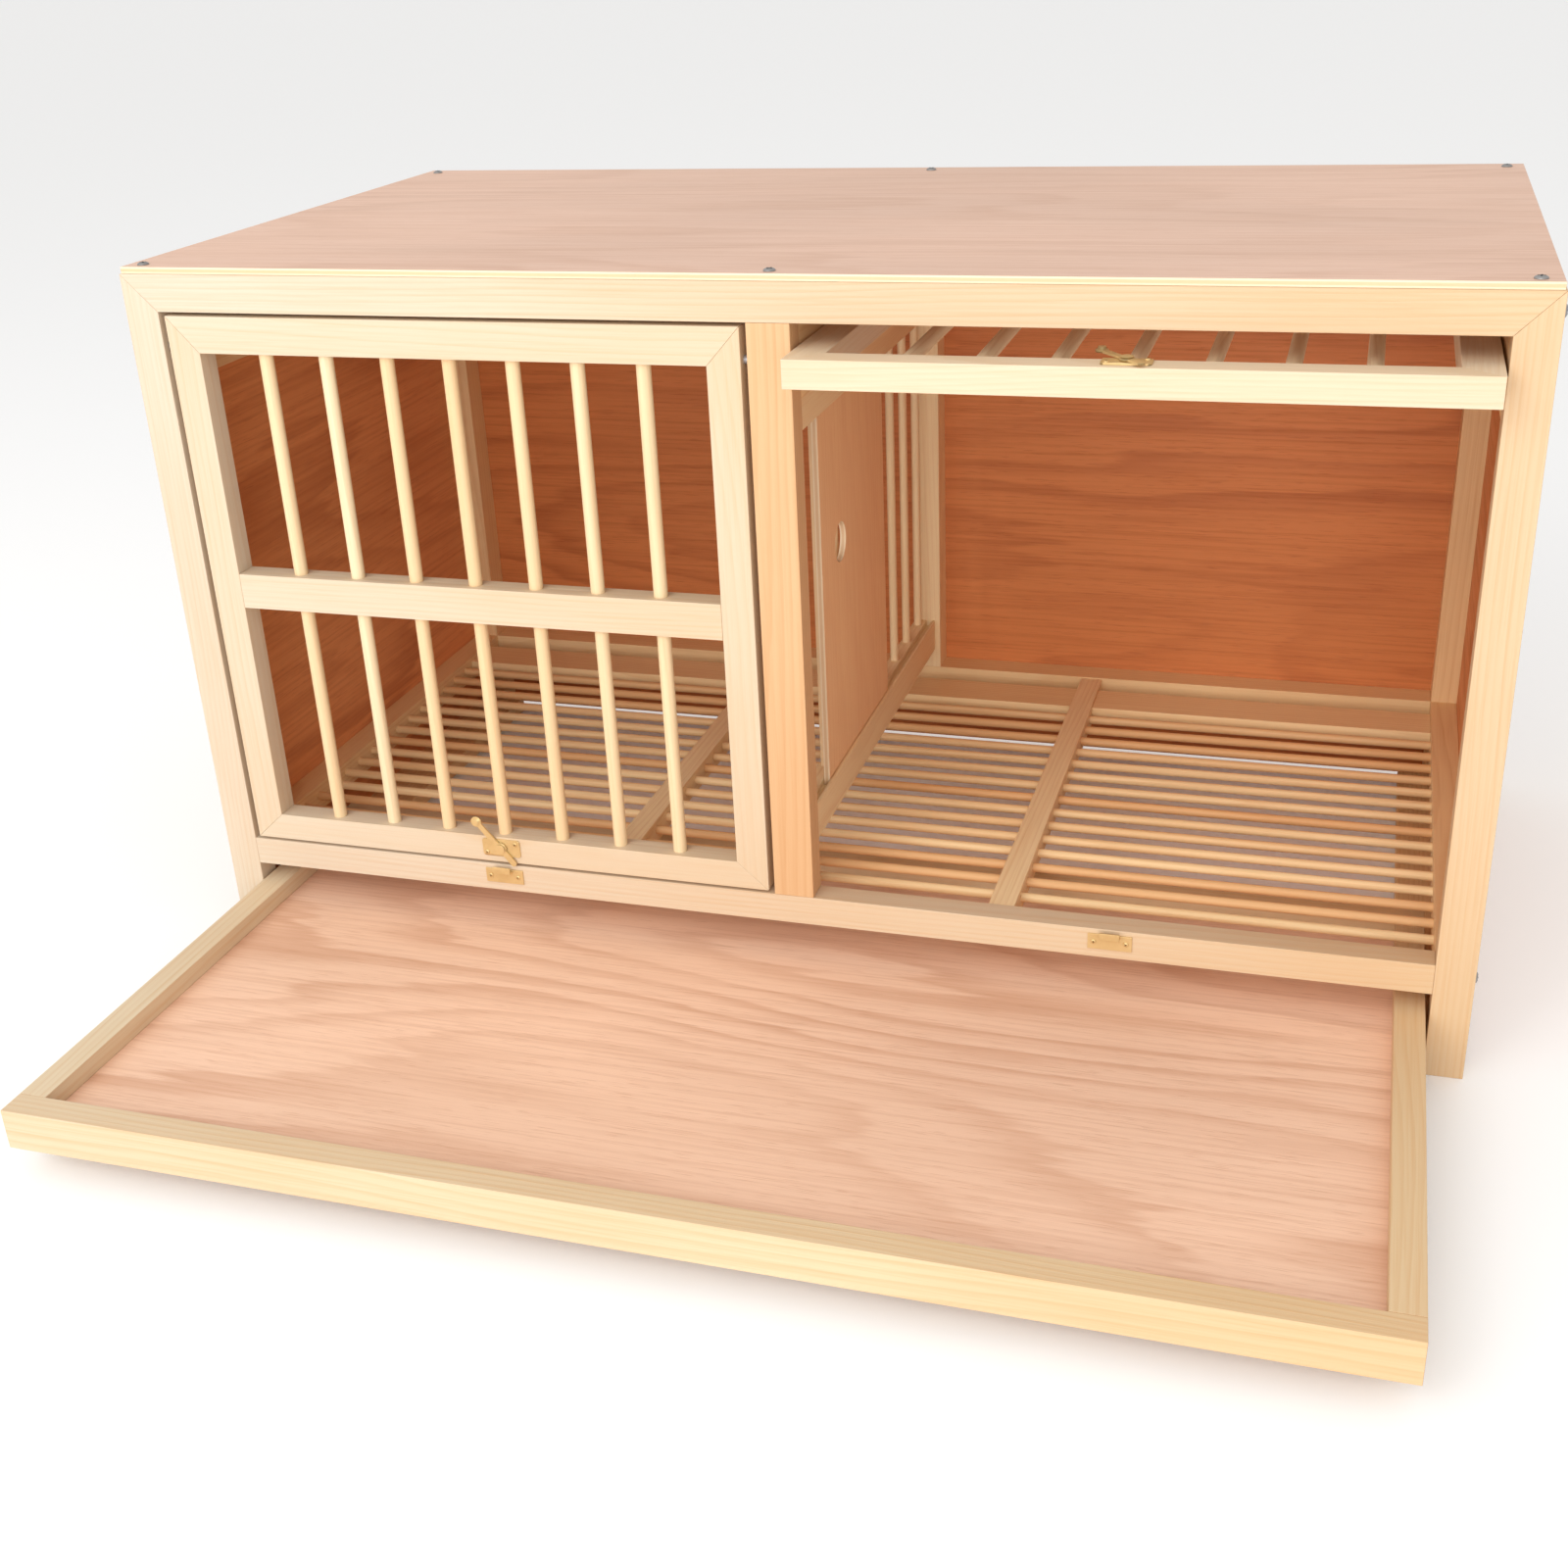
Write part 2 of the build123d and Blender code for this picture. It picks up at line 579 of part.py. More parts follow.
for side, door_plane, reach in DOORS:
    # Steel pins, a running fit in the stiles, with their tips in the channels
    pin_length = reach + pin_reach - (door_half - pin_seat)
    with BuildPart(door_plane) as door_pins:
        for sign in (-1, 1):
            with Locations(Location((sign * (reach + pin_reach), 0, 0), (0, sign * 90, 0))):
                Cylinder(
                    pin_diameter / 2, pin_length, align=(Align.CENTER, Align.CENTER, Align.MAX)
                )
    save(door_pins, f"{side}_door_pins")

    # Stiles, mitred to the top and bottom rails, each bored for its pin
    for edge, sign in SIDES:
        with BuildPart(door_plane) as stile:
            with BuildSketch(door_plane):
                with BuildLine():
                    Polyline(
                        (sign * door_half, door_foot),
                        (sign * door_half, pivot_drop),
                        (sign * rail_half, pivot_drop - door_top_rail),
                        (sign * rail_half, door_foot + door_bottom_rail),
                        close=True,
                    )
                make_face()
            extrude(amount=door_thickness / 2, both=True)
            with Locations(Location((sign * door_half, 0, 0), (0, 90, 0))):
                Cylinder(
                    pin_diameter / 2 + running_gap,
                    2 * (pin_seat + groove_gap),
                    mode=Mode.SUBTRACT,
                )
        save(stile, f"{side}_door_{edge}_stile")

    # Rails, bored for the bars, the bottom one also for the catch. The top and bottom ones
    # are mitred to the stiles, and the middle one stands between them.
    for rail_name, (top_half, top), (low_half, low) in DOOR_RAILS:
        with BuildPart(door_plane) as rail:
            with BuildSketch(door_plane):
                with BuildLine():
                    Polyline(
                        (-top_half, top),
                        (top_half, top),
                        (low_half, low),
                        (-low_half, low),
                        close=True,
                    )
                make_face()
            extrude(amount=door_thickness / 2, both=True)
            for n in range(bar_count):
                bar_x = (n - (bar_count - 1) / 2) * bar_pitch
                with Locations(Location((bar_x, bar_low - seat_gap, 0), (-90, 0, 0))):
                    Cylinder(
                        bar_bore,
                        bar_top - bar_low + 2 * seat_gap,
                        align=(Align.CENTER, Align.CENTER, Align.MIN),
                        mode=Mode.SUBTRACT,
                    )
            if rail_name == "bottom_rail":
                with Locations(*[(x, y, door_face) for x, y in CATCH_SCREWS]):
                    Cylinder(small_bore, 2 * (small_length + seat_gap), mode=Mode.SUBTRACT)
        save(rail, f"{side}_door_{rail_name}")

    # Round bars, through the middle rail
    with BuildPart(door_plane) as bars:
        for n in range(bar_count):
            bar_x = (n - (bar_count - 1) / 2) * bar_pitch
            with Locations(Location((bar_x, bar_low, 0), (-90, 0, 0))):
                Cylinder(
                    bar_diameter / 2,
                    bar_top - bar_low,
                    align=(Align.CENTER, Align.CENTER, Align.MIN),
                )
    save(bars, f"{side}_door_bars")

    # Catch plate with its rivet, which the swivel catch turns on
    with BuildPart(door_plane) as catch_plate:
        with BuildSketch(door_plane.offset(door_face)):
            with Locations((0, catch_y)):
                RectangleRounded(catch_plate_width, catch_plate_height, catch_plate_height / 6)
            with Locations(*CATCH_SCREWS):
                Circle(small_bore, mode=Mode.SUBTRACT)
        extrude(amount=brass_sheet)
        with BuildSketch(door_plane.offset(rivet_low)):
            with Locations((0, catch_y)):
                Circle(rivet_diameter / 2)
        extrude(amount=rivet_top - rivet_low)
        with BuildSketch(door_plane.offset(rivet_top)):
            with Locations((0, catch_y)):
                Circle(rivet_head / 2)
        extrude(amount=rivet_head_height)
    save(catch_plate, f"{side}_catch_plate")

    # Swivel catch: a hub, an arm with a round thumb tab and knob, and the nose
    outward = Axis((0, 0, 0), door_plane.z_dir)
    catch_plane = Plane(
        origin=door_plane.from_local_coords((0, catch_y, rivet_low + catch_gap)),
        x_dir=door_plane.x_dir.rotate(outward, catch_open_angle),
        z_dir=door_plane.z_dir,
    )
    with BuildPart(catch_plane) as swivel_catch:
        with BuildSketch(catch_plane):
            Circle(catch_hub / 2)
            with Locations((0, catch_arm / 2)):
                Rectangle(catch_arm_width, catch_arm)
            with Locations((0, catch_arm)):
                Circle(thumb_tab / 2)
            with Locations((0, -catch_nose / 2)):
                Rectangle(catch_nose_width, catch_nose)
            with Locations((0, -catch_nose)):
                Circle(catch_nose_width / 2)
            Circle(rivet_diameter / 2 + running_gap, mode=Mode.SUBTRACT)
        extrude(amount=catch_metal)
        with BuildSketch(catch_plane.offset(catch_metal)):
            with Locations((0, catch_arm)):
                Circle(thumb_knob / 2)
        extrude(amount=thumb_knob_height)
    save(swivel_catch, f"{side}_swivel_catch")

    # Small brass screws of the catch plate
    with BuildPart(door_plane) as catch_screws:
        with Locations(*[(x, y, rivet_low) for x, y in CATCH_SCREWS]):
            Cylinder(
                small_shank / 2, small_length, align=(Align.CENTER, Align.CENTER, Align.MAX)
            )
            Cylinder(
                small_head / 2, small_head_height, align=(Align.CENTER, Align.CENTER, Align.MIN)
            )
    save(catch_screws, f"{side}_catch_screws")

# Keepers on the bottom rail: a plate with a lip folded out and up in front of the nose
keeper_top = keeper_low + keeper_height
shelf_top = keeper_top - keeper_shelf_drop
for side, door_x in (("left", left_door_x), ("right", right_door_x)):
    with BuildPart() as keeper:
        with Locations((door_x, front_y, keeper_low)):
            Box(
                keeper_width,
                brass_sheet,
                keeper_height,
                align=(Align.CENTER, Align.MAX, Align.MIN),
            )
        with Locations((door_x, front_y, shelf_top)):
            Box(
                keeper_lip_width,
                keeper_reach,
                brass_sheet,
                align=(Align.CENTER, Align.MAX, Align.MAX),
            )
        with Locations((door_x, front_y - keeper_reach, shelf_top - brass_sheet)):
            Box(
                keeper_lip_width,
                brass_sheet,
                bottom_rail_top - shelf_top + brass_sheet,
                align=LOW,
            )
        for sign in (-1, 1):
            place = (door_x + sign * keeper_screw_x, front_y, keeper_low + keeper_height / 2)
            with Locations(Location(place, (90, 0, 0))):
                Cylinder(small_bore, 4 * brass_sheet, mode=Mode.SUBTRACT)
    save(keeper, f"{side}_keeper")

with BuildPart() as keeper_screws:
    for door_x in (left_door_x, right_door_x):
        for sign in (-1, 1):
            place = (
                door_x + sign * keeper_screw_x,
                front_y - brass_sheet,
                keeper_low + keeper_height / 2,
            )
            with Locations(Location(place, (90, 0, 0))):
                Cylinder(
                    small_shank / 2, small_length, align=(Align.CENTER, Align.CENTER, Align.MAX)
                )
                Cylinder(
                    small_head / 2,
                    small_head_height,
                    align=(Align.CENTER, Align.CENTER, Align.MIN),
                )
save(keeper_screws, "keeper_screws")
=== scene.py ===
import random
from math import cos, pi, radians, sin

import bmesh
import bpy
from mathutils import Matrix, Quaternion, Vector


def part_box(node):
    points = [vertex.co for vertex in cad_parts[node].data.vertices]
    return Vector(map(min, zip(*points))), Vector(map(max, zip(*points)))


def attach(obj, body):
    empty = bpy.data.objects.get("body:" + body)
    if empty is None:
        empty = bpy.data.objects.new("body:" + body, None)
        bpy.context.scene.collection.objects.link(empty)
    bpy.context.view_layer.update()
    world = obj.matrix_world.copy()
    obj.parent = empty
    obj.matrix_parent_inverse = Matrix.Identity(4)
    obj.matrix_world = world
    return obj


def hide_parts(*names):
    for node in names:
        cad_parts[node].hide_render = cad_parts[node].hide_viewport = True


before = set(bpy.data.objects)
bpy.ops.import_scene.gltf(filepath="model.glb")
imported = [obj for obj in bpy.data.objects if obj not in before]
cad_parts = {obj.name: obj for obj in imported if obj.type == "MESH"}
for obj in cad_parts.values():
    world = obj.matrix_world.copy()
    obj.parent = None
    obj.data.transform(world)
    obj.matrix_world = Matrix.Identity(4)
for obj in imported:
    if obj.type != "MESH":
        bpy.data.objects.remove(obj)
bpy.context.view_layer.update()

# Camera, standing in front of the cage and a little to the right, looking down on it. Its
# place, its tilt to one side and its lens were solved from the corners of the case.
camera_place = Vector((0.3135, -1.0271, 0.6287))
camera_aim = Vector((-0.0230, 0.0, 0.1160))
camera_roll = radians(-2.795)
camera = bpy.data.objects.new("camera", bpy.data.cameras.new("camera"))
bpy.context.scene.collection.objects.link(camera)
bpy.context.scene.camera = camera
camera.data.lens = 42.737
camera.data.sensor_width = 36.0
camera.location = camera_place
camera.rotation_mode = "QUATERNION"
looking = (camera_aim - camera_place).to_track_quat("-Z", "Y")
camera.rotation_quaternion = looking @ Quaternion((0, 0, 1), camera_roll)

# Floor and light: a plain white floor under an even white sky, with large soft lamps in
# front that light the rooms too. Colours are shown as they are. The floor glows a little, so
# that it stays white under the cage, with only a soft shadow beside the legs.
bpy.context.scene.view_settings.view_transform = "Standard"
sky = bpy.data.worlds.new("white_sky")
sky.use_nodes = True
sky.node_tree.nodes["Background"].inputs["Color"].default_value = (1.0, 0.995, 0.985, 1.0)
sky.node_tree.nodes["Background"].inputs["Strength"].default_value = 0.84
bpy.context.scene.world = sky


def soft_lamp(name, place, aim, size, watts):
    """A square lamp of this size in metres, turned to face a point."""
    lamp = bpy.data.objects.new(name, bpy.data.lights.new(name, "AREA"))
    lamp.data.size = size
    lamp.data.energy = watts
    lamp.location = place
    lamp.rotation_mode = "QUATERNION"
    lamp.rotation_quaternion = (Vector(aim) - Vector(place)).to_track_quat("-Z", "Y")
    bpy.context.scene.collection.objects.link(lamp)


soft_lamp("lamp_high_left", (-1.3, -2.0, 1.9), (0, 0, 0.15), 1.6, 14.0)
soft_lamp("lamp_front", (-0.2, -2.5, 1.25), (0, 0.1, 0.2), 2.2, 33.0)
soft_lamp("lamp_low", (0.5, -2.3, 0.55), (0, 0.2, 0.2), 1.0, 8.0)

floor_reach = 20.0
floor_mesh = bpy.data.meshes.new("floor")
floor_corners = [(-floor_reach, -floor_reach), (floor_reach, -floor_reach),
                 (floor_reach, floor_reach), (-floor_reach, floor_reach)]
floor_mesh.from_pydata([(x, y, 0.0) for x, y in floor_corners], [], [(0, 1, 2, 3)])
floor = bpy.data.objects.new("floor", floor_mesh)
bpy.context.scene.collection.objects.link(floor)
floor_paint = bpy.data.materials.new("floor_paint")
floor_paint.use_nodes = True
floor_inputs = floor_paint.node_tree.nodes["Principled BSDF"].inputs
floor_inputs["Base Color"].default_value = (0.97, 0.97, 0.97, 1)
floor_inputs["Roughness"].default_value = 0.9
floor_inputs["Emission Color"].default_value = (1, 1, 1, 1)
floor_inputs["Emission Strength"].default_value = 0.03
floor_mesh.materials.append(floor_paint)

# Front frame: two posts mitred to the top rail, a middle post and a bottom rail, all of
# planed pine lath 17 mm deep, glued and screwed. Their long edges are barely eased. The
# grain is cut from a log, with growth rings round a pith that lies off to one side.
lath_ease = 0.0004
edge_angle = radians(50)


def eased(node, body, material, ease=lath_ease):
    """A piece like a CAD node, with its long edges rounded over, that stands for the node."""
    cad_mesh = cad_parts[node].data
    form = bmesh.new()
    corners = [form.verts.new(v.co) for v in cad_mesh.vertices]
    for face in cad_mesh.polygons:
        form.faces.new([corners[i] for i in face.vertices])
    bmesh.ops.remove_doubles(form, verts=form.verts, dist=1e-6)
    bmesh.ops.dissolve_limit(form, angle_limit=radians(1), verts=form.verts, edges=form.edges)
    long_edges = [
        e for e in form.edges
        if len(e.link_faces) == 2 and e.calc_length() > 4 * ease and e.calc_face_angle() > edge_angle
    ]
    bmesh.ops.bevel(form, geom=long_edges, offset=ease, segments=2, profile=0.5, affect="EDGES")
    bmesh.ops.recalc_face_normals(form, faces=form.faces)
    for face in form.faces:
        face.smooth = True
    mesh = bpy.data.meshes.new(node + "_eased")
    form.to_mesh(mesh)
    form.free()
    piece = bpy.data.objects.new(node + "_eased", mesh)
    bpy.context.scene.collection.objects.link(piece)
    even = piece.modifiers.new("even_shading", "WEIGHTED_NORMAL")
    even.keep_sharp = True
    mesh.materials.append(material)
    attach(piece, body)
    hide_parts(node)
    return piece


def shade(red, green, blue):
    """A colour given as it looks on a screen, each part from 0 to 255, for a shader."""
    parts = [c / 255 for c in (red, green, blue)]
    linear = [c / 12.92 if c <= 0.04045 else ((c + 0.055) / 1.055) ** 2.4 for c in parts]
    return (*linear, 1.0)


def calc(tree, operation, *values):
    """A Math node's result. A value is a number or another node's socket."""
    node = tree.nodes.new("ShaderNodeMath")
    node.operation = operation
    for slot, value in zip(node.inputs, values):
        if isinstance(value, bpy.types.NodeSocket):
            tree.links.new(value, slot)
        else:
            slot.default_value = value
    return node.outputs[0]


def vector(tree, operation, *values):
    """A Vector Math node's result."""
    node = tree.nodes.new("ShaderNodeVectorMath")
    node.operation = operation
    for slot, value in zip(node.inputs, values):
        if isinstance(value, bpy.types.NodeSocket):
            tree.links.new(value, slot)
        else:
            slot.default_value = value
    return node.outputs["Value" if operation in ("LENGTH", "DOT_PRODUCT") else "Vector"]


def spread(tree, value, low, high, smooth=True):
    """0 up to low, 1 from high, and a smooth rise between them."""
    node = tree.nodes.new("ShaderNodeMapRange")
    node.interpolation_type = "SMOOTHSTEP" if smooth else "LINEAR"
    node.inputs["From Min"].default_value = low
    node.inputs["From Max"].default_value = high
    tree.links.new(value, node.inputs["Value"])
    return node.outputs["Result"]


def cloud(tree, place, across, along, detail=2.0, output="Fac"):
    """Noise with so many waves to the metre across a piece and along it."""
    stretched = vector(tree, "MULTIPLY", place, (across, across, along))
    node = tree.nodes.new("ShaderNodeTexNoise")
    node.inputs["Scale"].default_value = 1.0
    node.inputs["Detail"].default_value = detail
    tree.links.new(stretched, node.inputs["Vector"])
    return node.outputs[output]


def mixed(tree, share, first, second, blend="MIX"):
    """Two colours mixed. A colour is four numbers or another node's socket."""
    node = tree.nodes.new("ShaderNodeMix")
    node.data_type = "RGBA"
    node.blend_type = blend
    for slot, value in zip((node.inputs[0], node.inputs[6], node.inputs[7]), (share, first, second)):
        if isinstance(value, bpy.types.NodeSocket):
            tree.links.new(value, slot)
        else:
            slot.default_value = value
    return node.outputs[2]


def lengthwise(tree, node, along, thick=None):
    """Places measured from a piece's middle: across it, through it, and last along its grain."""
    low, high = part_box(node)
    texture = tree.nodes.new("ShaderNodeTexCoord")
    centred = vector(tree, "SUBTRACT", texture.outputs["Object"], (low + high) / 2)
    parts = tree.nodes.new("ShaderNodeSeparateXYZ")
    tree.links.new(centred, parts.inputs[0])
    through = thick or next(axis for axis in "YXZ" if axis != along)
    across = next(axis for axis in "XYZ" if axis not in (along, through))
    ordered = tree.nodes.new("ShaderNodeCombineXYZ")
    for slot, axis in zip(ordered.inputs, (across, through, along)):
        tree.links.new(parts.outputs[axis], slot)
    return ordered.outputs[0], texture.outputs["Normal"]


def facing(tree, normal, axis):
    """1 where a face looks along an axis either way, and 0 on the faces beside it."""
    direction = tuple(float(a == axis) for a in "XYZ")
    turned = calc(tree, "ABSOLUTE", vector(tree, "DOT_PRODUCT", normal, direction))
    return spread(tree, turned, 0.6, 0.8)


def finish_wood(material, colour, roughness, relief, depth):
    """Lead colour, roughness and a height in metres to the material's shader."""
    tree = material.node_tree
    shader = tree.nodes["Principled BSDF"]
    shader.inputs["Specular IOR Level"].default_value = 0.32
    bump = tree.nodes.new("ShaderNodeBump")
    bump.inputs["Strength"].default_value = 0.55
    bump.inputs["Distance"].default_value = depth
    tree.links.new(relief, bump.inputs["Height"])
    tree.links.new(bump.outputs["Normal"], shader.inputs["Normal"])
    tree.links.new(colour, shader.inputs["Base Color"])
    tree.links.new(roughness, shader.inputs["Roughness"])


def pine(node, along, early, late, ring=0.0034, figure=0.3, each=None, tan=None, right_shade=0.0):
    """Planed pine: rings round a pith, darker late wood, fine fibres, and darker end grain.

    Of pieces set side by side, each=(pitch, shift) gives every one its own share of tan.
    The wood is cream at the left of the cage; the last argument paints shade on it, darker and more
    orange towards the right.
    """
    luck = random.Random(node)
    turn = luck.uniform(0, 2 * pi)
    reach = luck.uniform(0.045, 0.09)
    pith = (reach * cos(turn), reach * sin(turn))
    lean = (luck.uniform(-0.02, 0.02), luck.uniform(-0.02, 0.02))
    start = luck.uniform(-20, 20)
    material = bpy.data.materials.new("pine_" + node)
    material.use_nodes = True
    tree = material.node_tree
    place, normal = lengthwise(tree, node, along)
    shifted = vector(tree, "ADD", place, (0, 0, start))
    sway = vector(tree, "SUBTRACT", cloud(tree, shifted, 7, 1.6, output="Color"), (0.5, 0.5, 0.5))
    waver = vector(tree, "SUBTRACT", cloud(tree, shifted, 60, 9, output="Color"), (0.5, 0.5, 0.5))
    bent = vector(tree, "ADD", place, vector(tree, "MULTIPLY", sway, (0.030, 0.030, 0)))
    bent = vector(tree, "ADD", bent, vector(tree, "MULTIPLY", waver, (0.0022, 0.0022, 0)))
    mapping = tree.nodes.new("ShaderNodeMapping")
    mapping.inputs["Rotation"].default_value = (*lean, 0)
    mapping.inputs["Location"].default_value = (*pith, 0)
    tree.links.new(bent, mapping.inputs["Vector"])
    flat = vector(tree, "MULTIPLY", mapping.outputs["Vector"], (1, 1, 0))
    rings = calc(tree, "DIVIDE", vector(tree, "LENGTH", flat), ring)
    part = calc(tree, "FRACT", rings)
    rise = calc(tree, "POWER", spread(tree, part, 0.15, 0.9), 2.0)
    fall = calc(tree, "SUBTRACT", 1.0, spread(tree, part, 0.9, 1.0))
    late_wood = calc(tree, "MULTIPLY", rise, fall)
    year = tree.nodes.new("ShaderNodeTexWhiteNoise")
    year.noise_dimensions = "1D"
    tree.links.new(calc(tree, "FLOOR", rings), year.inputs["W"])
    strength = calc(tree, "MULTIPLY_ADD", year.outputs["Value"], 0.6, 0.4)
    late_wood = calc(tree, "MULTIPLY", late_wood, strength)
    fibre = cloud(tree, shifted, 900, 16, 3.0)
    blotch = spread(tree, cloud(tree, shifted, 14, 3, 3.0), 0.3, 0.7)
    warmer = tuple(0.62 * a + 0.38 * b for a, b in zip(early, late))
    ground = mixed(tree, calc(tree, "MULTIPLY", blotch, 0.7), early, warmer)
    ringed = mixed(tree, calc(tree, "MULTIPLY", late_wood, figure), ground, late)
    streak = spread(tree, fibre, 0.42, 0.75)
    streaked = mixed(tree, calc(tree, "MULTIPLY", streak, 0.22), ringed, late)
    if each:
        sides = tree.nodes.new("ShaderNodeSeparateXYZ")
        tree.links.new(place, sides.inputs[0])
        side = "Y" if along == "X" else "X"
        pitch, shift = each
        steps = calc(tree, "MULTIPLY_ADD", sides.outputs[side], 1 / pitch, shift)
        count = calc(tree, "FLOOR", steps)
        piece = tree.nodes.new("ShaderNodeTexWhiteNoise")
        piece.noise_dimensions = "1D"
        tree.links.new(calc(tree, "ADD", count, start), piece.inputs["W"])
        streaked = mixed(tree, calc(tree, "MULTIPLY", piece.outputs["Value"], 0.75), streaked, tan)
    if right_shade:
        spot = tree.nodes.new("ShaderNodeSeparateXYZ")
        tree.links.new(tree.nodes["Texture Coordinate"].outputs["Object"], spot.inputs[0])
        # painted shade: towards the right of the cage the pine is multiplied darker and more orange
        shade_half_width = 0.42
        shade_rise_right = spread(tree, spot.outputs["X"], -shade_half_width, shade_half_width, smooth=False)
        painted_right_shade = calc(tree, "MULTIPLY", shade_rise_right, right_shade)
        streaked = mixed(tree, painted_right_shade, streaked, shade(255, 237, 212), "MULTIPLY")
    end_grain = facing(tree, normal, along)
    brown = mixed(tree, 1.0, streaked, shade(222, 196, 170), "MULTIPLY")
    colour = mixed(tree, end_grain, streaked, brown)
    roughness = calc(tree, "MULTIPLY_ADD", fibre, 0.25, 0.42)
    roughness = calc(tree, "MULTIPLY_ADD", end_grain, 0.2, roughness)
    relief = calc(tree, "MULTIPLY_ADD", late_wood, 0.5, fibre)
    finish_wood(material, colour, roughness, relief, 0.00018)
    return material


frame_early = shade(216, 201, 180)
frame_late = shade(204, 166, 122)
for node, along in (
    ("front_left_post", "Z"),
    ("front_right_post", "Z"),
    ("top_front_rail", "X"),
    ("bottom_front_rail", "X"),
):
    eased(node, "case", pine(node, along, frame_early, frame_late, right_shade=1.0))

middle_early = shade(218, 178, 134)
middle_late = shade(200, 144, 92)
eased(
    "front_middle_post", "case",
    pine("front_middle_post", "Z", middle_early, middle_late, ring=0.0026, figure=0.5),
)

# Rear frame, side rails and guides: lath behind and along the sides, given a more orange colour than
# the front as painted shade, for the saturated look of the shaded rooms. The guides leave a channel
# between them for the pins of the doors.
# painted shade: a more orange copy of the pine for the laths inside the rooms
room_shade_tint_early = shade(246, 212, 160)
room_shade_tint_late = shade(214, 158, 102)
for node, along in (
    ("rear_left_post", "Z"),
    ("rear_right_post", "Z"),
    ("top_rear_rail", "X"),
    ("bottom_rear_rail", "X"),
    ("top_left_rail", "Y"),
    ("top_right_rail", "Y"),
    ("bottom_left_rail", "Y"),
    ("bottom_right_rail", "Y"),
    ("left_lower_guide", "Y"),
    ("right_lower_guide", "Y"),
    ("divider_lower_guide", "Y"),
    ("divider_upper_guide", "Y"),
    ("tray_runners", "Y"),
):
    eased(node, "case", pine(node, along, room_shade_tint_early, room_shade_tint_late))

# Divider: two grooved rails and a rear stile round a row of dowels, with a sliding panel
# painted shade: the divider's pine is given a more orange colour for the saturated look of the shade
# inside the rooms
divider_shade_tint_early = shade(252, 228, 182)
divider_shade_tint_late = shade(226, 178, 126)
for node, along in (
    ("divider_bottom_rail", "Y"),
    ("divider_top_rail", "Y"),
    ("divider_rear_stile", "Z"),
):
    eased(node, "case", pine(node, along, divider_shade_tint_early, divider_shade_tint_late))
dowel_early = shade(244, 216, 172)
dowel_late = shade(214, 164, 108)
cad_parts["divider_dowels"].material_slots[0].material = pine(
    "divider_dowels", "Z", dowel_early, dowel_late,
)


def plywood(node, along, thick, ground, line, figure=0.5, outward=None):
    """Peeled veneer: long loops of grain, short dark pores, and layers on the sheet's edges.

    The face that looks outward, where one is given, is pinkish tan like the roof.
    """
    luck = random.Random(node)
    material = bpy.data.materials.new("plywood_" + node)
    material.use_nodes = True
    tree = material.node_tree
    place, normal = lengthwise(tree, node, along, thick)
    start = (luck.uniform(-9, 9), 0, luck.uniform(-9, 9))
    shifted = vector(tree, "ADD", place, start)
    loops = 14.0
    hills = calc(tree, "MULTIPLY", cloud(tree, shifted, 5, 1.1, 1.5), loops)
    slope = vector(tree, "DOT_PRODUCT", place, (9.0, 0, 0.6))
    waver = calc(tree, "MULTIPLY", cloud(tree, shifted, 90, 7, 3.0), 0.9)
    height = calc(tree, "ADD", calc(tree, "ADD", hills, slope), waver)
    part = calc(tree, "FRACT", height)
    rise = calc(tree, "POWER", spread(tree, part, 0.1, 0.86), 3.0)
    fall = calc(tree, "SUBTRACT", 1.0, spread(tree, part, 0.86, 1.0))
    lines = calc(tree, "MULTIPLY", rise, fall)
    fade = spread(tree, cloud(tree, shifted, 9, 2, 2.0), 0.32, 0.68)
    lines = calc(tree, "MULTIPLY", lines, calc(tree, "MULTIPLY_ADD", fade, 0.7, 0.3))
    fibre = cloud(tree, shifted, 420, 7, 4.0)
    pores = spread(tree, cloud(tree, shifted, 1300, 60, 1.0), 0.60, 0.72)
    blotch = spread(tree, cloud(tree, shifted, 6, 2.5, 3.0), 0.3, 0.7)
    pale = tuple(min(1.0, c * 1.12) for c in ground)
    base = mixed(tree, blotch, ground, pale)
    lined = mixed(tree, calc(tree, "MULTIPLY", lines, figure), base, line)
    streak = spread(tree, fibre, 0.4, 0.75)
    streaked = mixed(tree, calc(tree, "MULTIPLY", streak, 0.28), lined, line)
    pored = mixed(tree, calc(tree, "MULTIPLY", pores, 0.25), streaked, line)
    if outward:
        outside = spread(tree, vector(tree, "DOT_PRODUCT", normal, outward), 0.5, 0.8)
        outer_line = shade(192, 146, 114)
        outer = mixed(tree, calc(tree, "MULTIPLY", lines, 0.3), shade(222, 184, 158), outer_line)
        outer = mixed(tree, calc(tree, "MULTIPLY", streak, 0.2), outer, outer_line)
        pored = mixed(tree, outside, pored, outer)
    parts = tree.nodes.new("ShaderNodeSeparateXYZ")
    tree.links.new(place, parts.inputs[0])
    off_centre = calc(tree, "ABSOLUTE", parts.outputs["Y"])
    core = calc(tree, "SUBTRACT", 1.0, spread(tree, off_centre, 0.0008, 0.0010))
    edge = calc(tree, "SUBTRACT", 1.0, facing(tree, normal, thick))
    layered = mixed(tree, core, shade(246, 226, 194), shade(228, 196, 156))
    grained = mixed(tree, calc(tree, "MULTIPLY", fibre, 0.25), layered, shade(206, 160, 112))
    colour = mixed(tree, edge, pored, grained)
    roughness = calc(tree, "MULTIPLY_ADD", fibre, 0.3, 0.38)
    relief = calc(tree, "SUBTRACT", calc(tree, "MULTIPLY", fibre, 0.6), pores)
    finish_wood(material, colour, roughness, relief, 0.00012)
    return material


panel_ground = shade(250, 204, 156)
panel_line = shade(232, 174, 124)
sheet_ease = 0.0003
eased(
    "divider_sliding_panel", "divider_panel",
    plywood("divider_sliding_panel", "Z", "X", panel_ground, panel_line, figure=0.2), sheet_ease,
)
